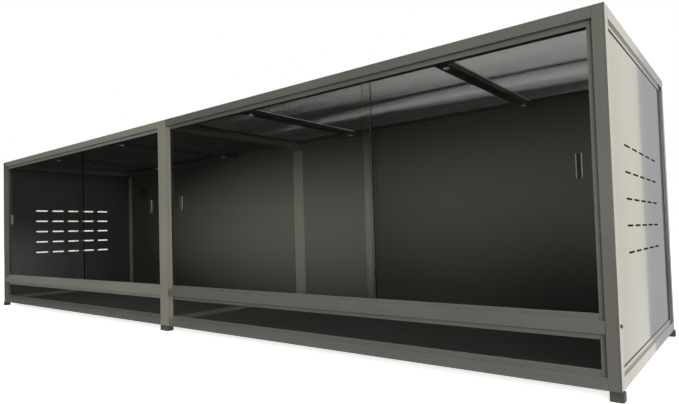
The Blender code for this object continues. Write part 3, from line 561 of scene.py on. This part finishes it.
def add_post_screws():
    """Darkened round-headed screws that hold the mid rails to the front posts."""
    for bay, side in (("left", -1), ("right", 1)):
        low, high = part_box(f"{bay}_post_screw")
        middle = (low + high) / 2
        shape = screw_head(*POST_HEAD)
        bmesh.ops.create_cone(
            shape, cap_ends=True, segments=POST_SHANK_SIDES, radius1=POST_SHANK_RADIUS,
            radius2=POST_SHANK_RADIUS, depth=POST_SHANK_LENGTH,
            matrix=Matrix.Translation((0, 0, -POST_SHANK_LENGTH / 2)),
        )
        place = Vector((side * POST_SEAT, middle.y, middle.z))
        piece = add_piece(
            f"{bay}_post_cross_screw", pointed(shape, place, side * X), materials["screw"],
            smooth=True,
        )
        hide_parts(f"{bay}_post_screw")


# Cable port's seal, with its flaps closed
SEAL_FLAPS = 6
SEAL_RINGS = 6
SEAL_STEPS = 144
SEAL_GROOVE = 0.0007
SEAL_SLIT_SHARE = 0.85


def add_seal_flaps():
    """A rubber disc whose flaps meet in fine grooves, standing for the slit seal."""
    low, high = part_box("cable_port_seal")
    middle, radius = (low + high) / 2, (high.x - low.x) / 2
    shape = bmesh.new()
    reaches = [radius * step / SEAL_RINGS for step in range(SEAL_RINGS + 1)]
    profile = [(reach, low.y) for reach in reaches] + [(reach, high.y) for reach in reversed(reaches)]
    corners = [shape.verts.new((middle.x + reach, y, middle.z)) for reach, y in profile]
    edges = [shape.edges.new(pair) for pair in zip(corners, corners[1:])]
    bmesh.ops.spin(
        shape, geom=corners + edges, cent=middle, axis=(0, 1, 0), dvec=(0, 0, 0),
        angle=2 * math.pi, steps=SEAL_STEPS, use_merge=True,
    )
    bmesh.ops.remove_doubles(shape, verts=shape.verts, dist=MERGE)
    bmesh.ops.recalc_face_normals(shape, faces=shape.faces)
    for vert in shape.verts:
        reach = math.hypot(vert.co.x - middle.x, vert.co.z - middle.z)
        turn = math.atan2(vert.co.z - middle.z, vert.co.x - middle.x) * SEAL_FLAPS / (2 * math.pi)
        on_slit = abs(turn - round(turn)) < 0.5 * SEAL_FLAPS / SEAL_STEPS
        if vert.co.y < middle.y and on_slit and reach < radius * SEAL_SLIT_SHARE:
            vert.co.y += SEAL_GROOVE
    piece = add_piece("cable_port_flaps", shape, materials["port_seal"])
    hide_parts("cable_port_seal")


# Painted shade in the pulls
PULL_RIM = 0.0014
PULL_FLOOR = 0.0010
SHADE_SHEET_DEPTH = 0.0001


def add_pull_shade_sheets():
    """A near-black sheet on the floor of each pull's tray and on its top and bottom rims, as painted
    shade.
    """
    for bay in BAYS:
        for door in BAYS:
            low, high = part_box(f"{bay}_bay_{door}_pull")
            floor = high.y - PULL_FLOOR
            shape = bmesh.new()
            for face, bottom, top in (
                (floor, low.z + PULL_RIM, high.z - PULL_RIM),
                (low.y, low.z, low.z + PULL_RIM),
                (low.y, high.z - PULL_RIM, high.z),
            ):
                add_box(
                    shape, (low.x + PULL_RIM, face - SHADE_SHEET_DEPTH, bottom),
                    (high.x - PULL_RIM, face + SHADE_SHEET_DEPTH, top),
                )
            body = f"{bay}_bay_{door}_sliding_door"
            add_piece(f"{bay}_bay_{door}_shade_sheet", shape, pull_shade_sheet, body)


# Painted highlights along the crossbars' edges
EDGE_HEIGHT = 0.0020
EDGE_PROUD = 0.0005
EDGE_REACH = 0.2300


def add_crossbar_edge_highlights():
    """Light strips along both upper edges of the right bay's crossbars, as painted highlights."""
    for name in ("inner_right", "outer_right"):
        low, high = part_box(f"{name}_crossbar")
        top = high.z - EDGE_PROUD
        shape = bmesh.new()
        for side in (high.x, low.x):
            add_box(
                shape, (side - EDGE_PROUD, -EDGE_REACH, top - EDGE_HEIGHT),
                (side + EDGE_PROUD, EDGE_REACH, top),
            )
        add_piece(f"{name}_crossbar_edge_highlights", shape, painted_edge_highlight)


# Fine screen
MESH_DIAMOND = 0.0048
MESH_WIRE_RADIUS = 0.00045
WIRE_CROSSING = 0.9
MESH_CUTS = 40
MESH_RIM = 0.0120
MESH_REAR_RIM = 0.0500
MESH_RISE = 0.0008
SLACK_REACH = 0.0400
FOLD_SWAY = 0.0120
FOLD_SWAY_RATE = 2.6
STREAK_HEIGHT = 0.0003
STREAK_RATES = (1.6, 26)
# Each fold's place along Y, its half width and how much it steps up or down
FOLD_STEPS = (
    (-0.155, 0.060, -0.0036), (-0.030, 0.012, 0.0028), (0.048, 0.030, -0.0048), (0.155, 0.035, 0.0040),
)


def mesh_wave(x, y, low, high):
    """How far the slack mesh stands off its plane; it lies flat at the rim."""
    from_rim = min(x - low.x, high.x - x, y - low.y, high.y - MESH_REAR_RIM - y)
    slack = max(0.0, min(1.0, from_rim / SLACK_REACH))
    drift = y + FOLD_SWAY * math.sin(FOLD_SWAY_RATE * x)
    rise = MESH_RISE
    for place, reach, step in FOLD_STEPS:
        rise += step * (1 + math.tanh((drift - place) / reach)) / 2
    streaks = noise.noise(Vector((STREAK_RATES[0] * x, STREAK_RATES[1] * drift, 0)))
    return slack * (rise + STREAK_HEIGHT * streaks)


def fine_mesh(low, high):
    """Wires crossed in small diamonds, cut to the screen and slightly slack."""
    shape = bmesh.new()
    depth = high.y - low.y
    middle = (low + high) / 2
    count = int((high.x - low.x + depth) / MESH_DIAMOND)
    for slant in (-1, 1):
        turn = Z.rotation_difference(Vector((slant, 1, 0))).to_matrix().to_4x4()
        height = middle.z + slant * MESH_WIRE_RADIUS * WIRE_CROSSING
        start = Vector((low.x - depth / 2, middle.y, height))
        wire = bmesh.ops.create_cone(
            shape, cap_ends=True, segments=3, radius1=MESH_WIRE_RADIUS, radius2=MESH_WIRE_RADIUS,
            depth=depth * 1.5, matrix=Matrix.Translation(start) @ turn,
        )["verts"]
        faces = {face for vert in wire for face in vert.link_faces}
        edges = {edge for vert in wire for edge in vert.link_edges}
        first = list(wire) + list(edges) + list(faces)
        for number in range(1, count + 1):
            copied = bmesh.ops.duplicate(shape, geom=first)["geom"]
            verts = [item for item in copied if isinstance(item, bmesh.types.BMVert)]
            bmesh.ops.translate(shape, vec=(number * MESH_DIAMOND, 0, 0), verts=verts)
    rim = MESH_RIM / 2
    sides = ((low + Vector((rim, rim, 0)), -X), (low + Vector((rim, rim, 0)), -Y),
             (high - Vector((rim, rim, 0)), X), (high - Vector((rim, rim, 0)), Y))
    for corner, outward in sides:
        whole = shape.verts[:] + shape.edges[:] + shape.faces[:]
        trimmed = bmesh.ops.bisect_plane(
            shape, geom=whole, dist=MERGE, plane_co=corner, plane_no=outward, clear_outer=True,
        )["geom_cut"]
        ends = [item for item in trimmed if isinstance(item, bmesh.types.BMEdge)]
        bmesh.ops.holes_fill(shape, edges=ends, sides=0)
    for cut in range(1, MESH_CUTS):
        whole = shape.verts[:] + shape.edges[:] + shape.faces[:]
        place = (0, low.y + depth * cut / MESH_CUTS, 0)
        bmesh.ops.bisect_plane(shape, geom=whole, dist=MERGE, plane_co=place, plane_no=Y)
    for vert in shape.verts:
        vert.co.z += mesh_wave(vert.co.x, vert.co.y, low, high)
    return shape


def mesh_border(low, high):
    """The flat border that holds the mesh, wide along the rear."""
    shape = bmesh.new()
    bmesh.ops.create_grid(shape, x_segments=3, y_segments=3, size=1.5)
    columns = (low.x, low.x + MESH_RIM, high.x - MESH_RIM, high.x)
    rows = (low.y, low.y + MESH_RIM, high.y - MESH_REAR_RIM, high.y)
    for vert in shape.verts:
        column, row = round(vert.co.x + 1.5), round(vert.co.y + 1.5)
        vert.co = (columns[column], rows[row], low.z)
    centre = (low + high) / 2
    middle = [face for face in shape.faces if (face.calc_center_median() - centre).length < MESH_REAR_RIM]
    bmesh.ops.delete(shape, geom=middle, context="FACES_ONLY")
    raised = bmesh.ops.extrude_face_region(shape, geom=shape.faces[:])["geom"]
    verts = [item for item in raised if isinstance(item, bmesh.types.BMVert)]
    bmesh.ops.translate(shape, vec=(0, 0, high.z - low.z), verts=verts)
    bmesh.ops.recalc_face_normals(shape, faces=shape.faces)
    return shape


def add_screens():
    """The fine mesh and its flat border, standing for each bay's net."""
    for bay in BAYS:
        low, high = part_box(f"{bay}_screen")
        # The left bay's wire takes the darker copy of the finish, as painted shade.
        finish = shaded_wire if bay == "left" else materials["screen"]
        wires = add_piece(f"{bay}_fine_mesh", fine_mesh(low, high), finish)
        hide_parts(f"{bay}_screen")
        add_piece(f"{bay}_mesh_border", mesh_border(low, high), materials["track"])


# Bars, with their edges rounded
# Front bars that take the lighter copy of the frame coat, as painted light.
PAINTED_LIGHT_NODES = ("front_centre_post", "left_mid_rail", "front_left_top_rail")
BAR_EDGE = 0.0004
SCREEN_FRAME_EDGE = 0.0003


def add_bars():
    """The frame's bars, the screens' frames and the crossbars."""
    for entry in frame["record"]["subparts"]:
        node, slot = entry["node"], entry["material_slot"]
        if slot in ("frame", "crossbar"):
            width = SCREEN_FRAME_EDGE if "screen_frame" in node else BAR_EDGE
            # A few front bars get the lighter frame copy, as painted light.
            finish = painted_light_frame if node in PAINTED_LIGHT_NODES else materials[slot]
            bar = add_piece(f"{node}_coated", softened(node, width), finish)
            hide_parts(node)


# Right end wall
SLOT_HEIGHT = 0.0060
SLOT_ROWS = 5
SLOT_SHARE = 0.6
WALL_MARGIN = 0.0500


def add_end_wall():
    """The right end wall with its slots as fine as they look in the photo."""
    shape = bmesh.new()
    shape.from_mesh(nodes["right_end_wall"].data)
    low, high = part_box("right_end_wall")
    bottom, top, side = low.z + WALL_MARGIN, high.z - WALL_MARGIN, high.y - WALL_MARGIN
    cut = [vert for vert in shape.verts if bottom < vert.co.z < top and abs(vert.co.y) < side]
    bottom, top = min(vert.co.z for vert in cut), max(vert.co.z for vert in cut)
    first, pitch = bottom + SLOT_HEIGHT / 2, (top - bottom - SLOT_HEIGHT) / (SLOT_ROWS - 1)
    for vert in cut:
        middle = first + pitch * round((vert.co.z - first) / pitch)
        vert.co.z = middle + (vert.co.z - middle) * SLOT_SHARE
    wall = add_piece("right_end_board", shape, materials["panel"])
    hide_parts("right_end_wall")


# Nodes that are shown as they are
FLOOR_BOARDS = ("left_floor", "right_floor")


def finish_nodes():
    """Give each node that is still shown the material of its slot, but the floor boards a darker copy of
    the board, as painted shade.
    """
    for entry in frame["record"]["subparts"]:
        mesh = nodes[entry["node"]].data
        mesh.materials.clear()
        floor = entry["node"] in FLOOR_BOARDS
        mesh.materials.append(shaded_board if floor else materials[entry["material_slot"]])


# Bright slivers that show at the joints of the front bars
SLIVER_WIDTH = 0.0008
SLIVER_FRONT = -0.3049
SLIVER_REAR = -0.3040
SLIVER_MID_HEIGHTS = (0.1031, 0.1231)
SLIVER_BOTTOM_HEIGHTS = (0.0156, 0.0346)


def add_bright_end_slivers():
    """Slivers of bright metal colour at both ends of the front mid and bottom rails."""
    shape = bmesh.new()
    for bay in BAYS:
        for rail, (bottom, top) in (
            (f"{bay}_mid_rail", SLIVER_MID_HEIGHTS), (f"front_{bay}_bottom_rail", SLIVER_BOTTOM_HEIGHTS),
        ):
            low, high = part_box(rail)
            for x in (low.x, high.x - SLIVER_WIDTH):
                add_box(shape, (x, SLIVER_FRONT, bottom), (x + SLIVER_WIDTH, SLIVER_REAR, top))
    add_piece("bright_bar_end_slivers", shape, end_sliver_finish)


# Stage
FLOOR_REACH = 12
FLOOR_COLOUR = (0.86, 0.86, 0.85, 1)
FLOOR_ROUGHNESS = 0.9
FLOOR_SHINE = 0.1
FLOOR_LIFT = 0.75
FLOOR_BOUNCE = (0.30, 0.30, 0.30, 1)


def add_plane(name, corners):
    """A plane of the stage, which isn't part of the object."""
    shape = bmesh.new()
    shape.faces.new([shape.verts.new(corner) for corner in corners])
    mesh = bpy.data.meshes.new(name)
    shape.to_mesh(mesh)
    shape.free()
    plane = bpy.data.objects.new(name, mesh)
    bpy.context.scene.collection.objects.link(plane)
    return plane


def add_floor():
    """A pale floor, which throws back only a little light from below."""
    corners = ((-1, -1), (1, -1), (1, 1), (-1, 1))
    floor = add_plane("floor", [(x * FLOOR_REACH, y * FLOOR_REACH, 0) for x, y in corners])
    material, tree, shader, output = new_material("pale_floor")
    shader.inputs["Base Color"].default_value = FLOOR_COLOUR
    shader.inputs["Roughness"].default_value = FLOOR_ROUGHNESS
    shader.inputs["Specular IOR Level"].default_value = FLOOR_SHINE
    lit = add_node(tree, "Emission", {"Color": (1, 1, 1, 1), "Strength": FLOOR_LIFT})
    shown = add_node(tree, "AddShader", {0: shader.outputs[0], 1: lit.outputs[0]})
    dim = add_node(tree, "BsdfDiffuse", {"Color": FLOOR_BOUNCE})
    bounced = add_node(tree, "LightPath").outputs["Is Diffuse Ray"]
    surface = add_node(tree, "MixShader", {0: bounced, 1: shown.outputs[0], 2: dim.outputs[0]})
    tree.links.new(surface.outputs[0], output.inputs["Surface"])
    floor.data.materials.append(material)


# Light
WORLD_LIGHT = (1, 0.99, 0.97, 1)
WORLD_STRENGTH = 0.60
FRONT_CARD_Y = -0.9
REAR_CARD_Y = 2.0
CARD_HEIGHT = 3
CARD_FAR = 9
FLOOR_CARD_RISE = 0.002
FLOOR_CARD_EDGE = -0.33
REAR_FACE_EDGE = 0.315
REAR_CARD_START = 1.0
REAR_CARD_EDGE = 1.523
REAR_CARD_END = 4.0
END_CARD_START = 1.2225
FLOOR_CARD_START = 0.0492
COOL_LIGHT = (0.97, 0.99, 1)
PALE_LIGHT = (1, 1, 0.97)
OLIVE_LIGHT = (1, 0.99, 0.85)
WARM_LIGHT = (1, 0.965, 0.84)
WARM_FLOOR_LIGHT = (1, 0.968, 0.875)
# Each front card's name, start and end along X, colour, strength, glow, and the glow's centre and size
FRONT_CARDS = (
    ("far_left", -CARD_FAR, -1.2, COOL_LIGHT, 0.01, 0.11, (-3.0, 0.12), (1.8, 0.38)),
    ("front_left", -1.2, 0.32, OLIVE_LIGHT, 0.01, 0.68, (0.1, 0.30), (1.3, 0.40)),
    ("front_right", 0.32, 1.2, OLIVE_LIGHT, 0.02, 0.35, (0.95, 0.39), (1.5, 0.34)),
)


def upright(start, end, y, top):
    """The corners of a card that stands on the floor, from one X to another."""
    return [(start, y, 0), (end, y, 0), (end, y, top), (start, y, top)]


def lying(*corners):
    """The corners of a card that lies just over the floor."""
    return [(x, y, FLOOR_CARD_RISE) for x, y in corners]


def add_card(name, corners, colour, strength, glow=0.0, centre=(0, 0, 0), size=(1, 1, 1)):
    """A studio card that shows only in reflections, with a soft patch of light on it."""
    card = add_plane(name, corners)
    for kind in ("camera", "diffuse", "volume_scatter", "shadow"):
        setattr(card, f"visible_{kind}", False)
    material, tree, _, output = new_material(name)
    place = add_node(tree, "TexCoord").outputs["Object"]
    patch = add_node(tree, "Mapping", {
        "Vector": place, "Location": [-middle / reach for middle, reach in zip(centre, size)],
        "Scale": [1 / reach for reach in size],
    })
    near = add_node(tree, "TexGradient", {"Vector": patch.outputs[0]}, gradient_type="SPHERICAL")
    level = ranged(tree, near.outputs[1], 0.0, 1.0, strength, strength + glow)
    level.node.interpolation_type = "SMOOTHSTEP"
    light = add_node(tree, "Emission", {"Color": (*colour, 1), "Strength": level})
    clear = add_node(tree, "BsdfTransparent")
    reflections = add_node(tree, "LightPath").outputs["Glossy Depth"]
    reflected = combined(tree, reflections, 0.5, "GREATER_THAN")
    surface = add_node(tree, "MixShader", {0: reflected, 1: clear.outputs[0], 2: light.outputs[0]})
    tree.links.new(surface.outputs[0], output.inputs["Surface"])
    card.data.materials.append(material)


def add_lamp(name, place, target, size, power, colour=(1, 1, 1)):
    """A round lamp that points at a target and doesn't show in reflections."""
    data = bpy.data.lights.new(name, "AREA")
    data.shape = "DISK"
    data.size = size
    data.energy = power
    data.color = colour
    lamp = bpy.data.objects.new(name, data)
    lamp.location = place
    lamp.rotation_euler = (Vector(target) - Vector(place)).to_track_quat("-Z", "Y").to_euler()
    lamp.visible_glossy = False
    bpy.context.scene.collection.objects.link(lamp)


def add_world():
    """White where the eye, a reflection or a clear sheet meets the background, and dimmer as light."""
    world = bpy.data.worlds.new("studio")
    bpy.context.scene.world = world
    world.use_nodes = True
    tree = world.node_tree
    tree.nodes.clear()
    light = add_node(tree, "LightPath").outputs
    seen = combined(tree, light["Is Camera Ray"], light["Is Glossy Ray"], "MAXIMUM")
    clear = combined(tree, seen, light["Is Transmission Ray"], "MAXIMUM")
    soft = add_node(tree, "Background", {"Color": WORLD_LIGHT, "Strength": WORLD_STRENGTH})
    white = add_node(tree, "Background", {"Color": (1, 1, 1, 1), "Strength": 1.0})
    surface = add_node(tree, "MixShader", {0: clear, 1: soft.outputs[0], 2: white.outputs[0]})
    output = add_node(tree, "OutputWorld")
    tree.links.new(surface.outputs[0], output.inputs["Surface"])


def add_cards():
    """What the panes, the end wall and the low windows reflect."""
    for name, start, end, colour, strength, glow, (x, z), (width, height) in FRONT_CARDS:
        add_card(
            f"{name}_card", upright(start, end, FRONT_CARD_Y, CARD_HEIGHT), colour, strength,
            glow=glow, centre=(x, FRONT_CARD_Y, z), size=(width, 1.0, height),
        )
    add_card("floor_card", lying(
        (-CARD_FAR, FLOOR_CARD_EDGE), (3, FLOOR_CARD_EDGE), (3, -CARD_FAR), (-CARD_FAR, -CARD_FAR),
    ), PALE_LIGHT, 0.045)
    cool = upright(REAR_CARD_START, REAR_CARD_EDGE, REAR_CARD_Y, 2)
    add_card("rear_right_card", cool, COOL_LIGHT, 0.50)
    warm = upright(REAR_CARD_EDGE, REAR_CARD_END, REAR_CARD_Y, CARD_HEIGHT)
    add_card("warm_card", warm, WARM_LIGHT, 1.0)
    add_card("cool_floor_card", lying(
        (REAR_CARD_START, REAR_FACE_EDGE), (END_CARD_START, REAR_FACE_EDGE),
        (END_CARD_START, FLOOR_CARD_START), (REAR_CARD_EDGE, REAR_CARD_Y), (REAR_CARD_START, REAR_CARD_Y),
    ), COOL_LIGHT, 0.50)
    add_card("warm_floor_card", lying(
        (END_CARD_START, FLOOR_CARD_EDGE), (REAR_CARD_END, FLOOR_CARD_EDGE), (REAR_CARD_END, REAR_CARD_Y),
        (REAR_CARD_EDGE, REAR_CARD_Y), (END_CARD_START, FLOOR_CARD_START),
    ), WARM_FLOOR_LIGHT, 1.0)


bpy.context.scene.view_settings.view_transform = "Standard"
add_camera()
finish_nodes()
add_bars()
add_end_wall()
add_screens()
add_crossbar_screws()
add_post_screws()
add_seal_flaps()
add_pull_shade_sheets()
add_crossbar_edge_highlights()
add_bright_end_slivers()
add_floor()
add_world()
add_lamp("front_right_lamp", (3.4, -3.6, 1.1), (0.1, 0.1, 0.35), 2.0, 130, (1, 0.985, 0.95))
add_lamp("top_lamp", (0.4, -0.4, 3.6), (0.2, 0.0, 0.3), 3.0, 45)
add_cards()
